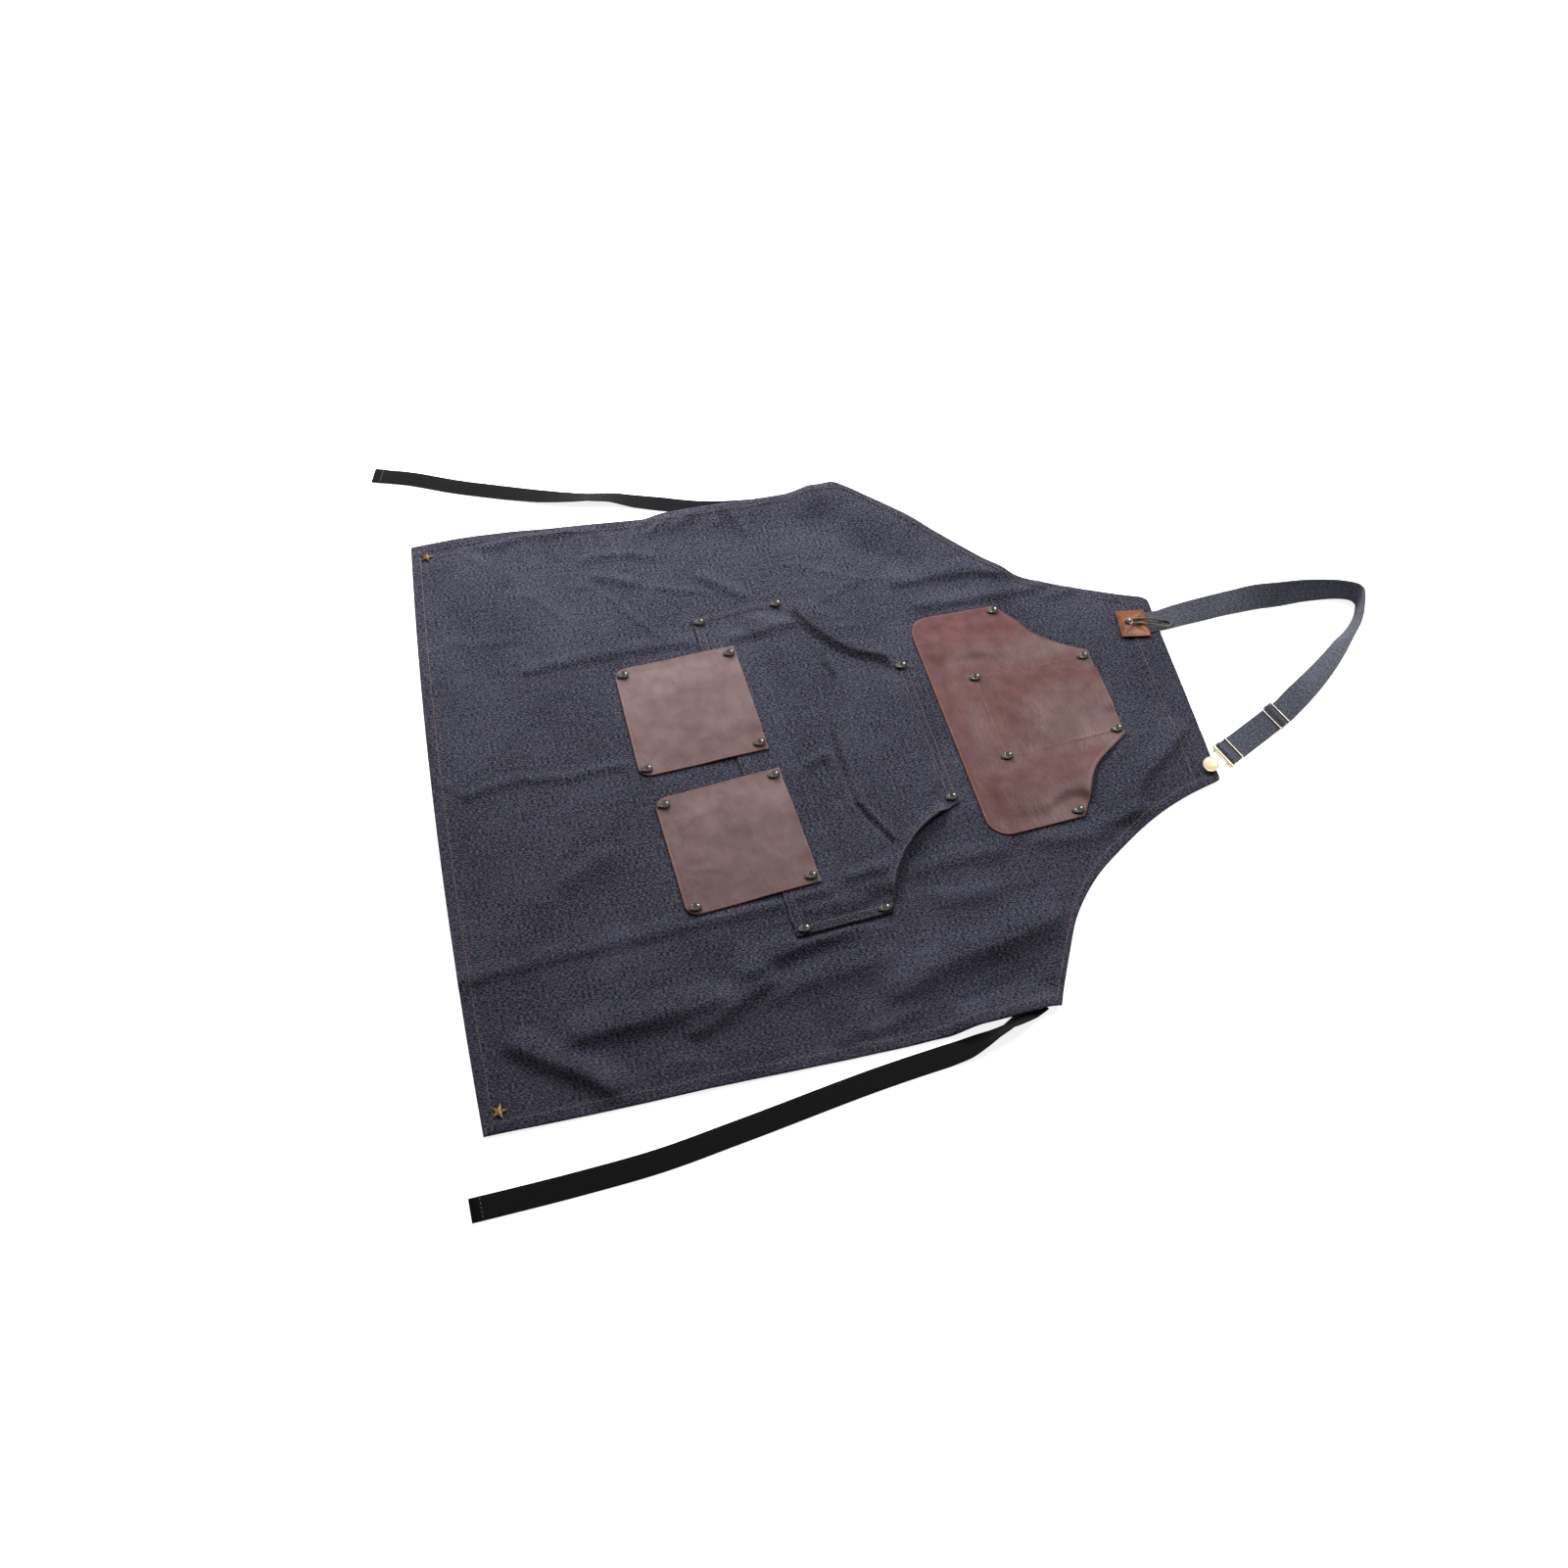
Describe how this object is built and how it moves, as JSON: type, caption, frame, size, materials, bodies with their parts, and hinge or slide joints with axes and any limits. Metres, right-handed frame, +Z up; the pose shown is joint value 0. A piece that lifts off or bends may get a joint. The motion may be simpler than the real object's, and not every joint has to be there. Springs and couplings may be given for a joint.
{
  "type": "bib apron",
  "caption": "Denim bib apron lying flat, with leather pockets, ornament studs, an adjustable neck strap with buckle and button, and waist ties.",
  "frame": {"origin": "on the surface the apron lies on, under the middle of the panel's width at half its length from hem to bib", "axes": "+X across to the wearer's left, +Y from the hem towards the bib, +Z up out of the apron's face"},
  "size_m": [0.9159, 1.073, 0.0285],
  "materials": {
    "denim": "dark washed denim twill",
    "leather": "satin brown leather",
    "tab_leather": "lighter orange-brown leather",
    "lace": "thin dark lace",
    "webbing": "black woven webbing",
    "gunmetal": "polished dark gunmetal",
    "slider_wire": "pale plated wire",
    "pale_gold": "polished pale gold plate",
    "antique_brass": "darkened brass"
  },
  "bodies": {
    "root": {"apron_panel": "denim", "hand_pocket": "denim", "neck_strap": "denim", "chest_pocket": "leather", "leather_pocket_left": "leather", "leather_pocket_right": "leather", "strap_tab": "tab_leather", "tab_lace": "lace", "waist_tie_left": "webbing", "waist_tie_right": "webbing", "tab_stud": "gunmetal", "strap_slider": "slider_wire", "button_buckle": "pale_gold", "bib_button": "pale_gold", "hem_star_left": "antique_brass", "hem_star_right": "antique_brass", "hand_stud_1": "gunmetal", "hand_stud_2": "gunmetal", "hand_stud_3": "gunmetal", "hand_stud_4": "gunmetal", "hand_stud_5": "gunmetal", "hand_stud_6": "gunmetal", "leather_left_stud_1": "gunmetal", "leather_left_stud_2": "gunmetal", "leather_left_stud_3": "gunmetal", "leather_left_stud_4": "gunmetal", "leather_right_stud_1": "gunmetal", "leather_right_stud_2": "gunmetal", "leather_right_stud_3": "gunmetal", "leather_right_stud_4": "gunmetal", "chest_stud_1": "gunmetal", "chest_stud_2": "gunmetal", "chest_stud_3": "gunmetal", "chest_stud_4": "gunmetal", "chest_stud_5": "gunmetal", "chest_stud_6": "gunmetal"}
  },
  "joints": []
}
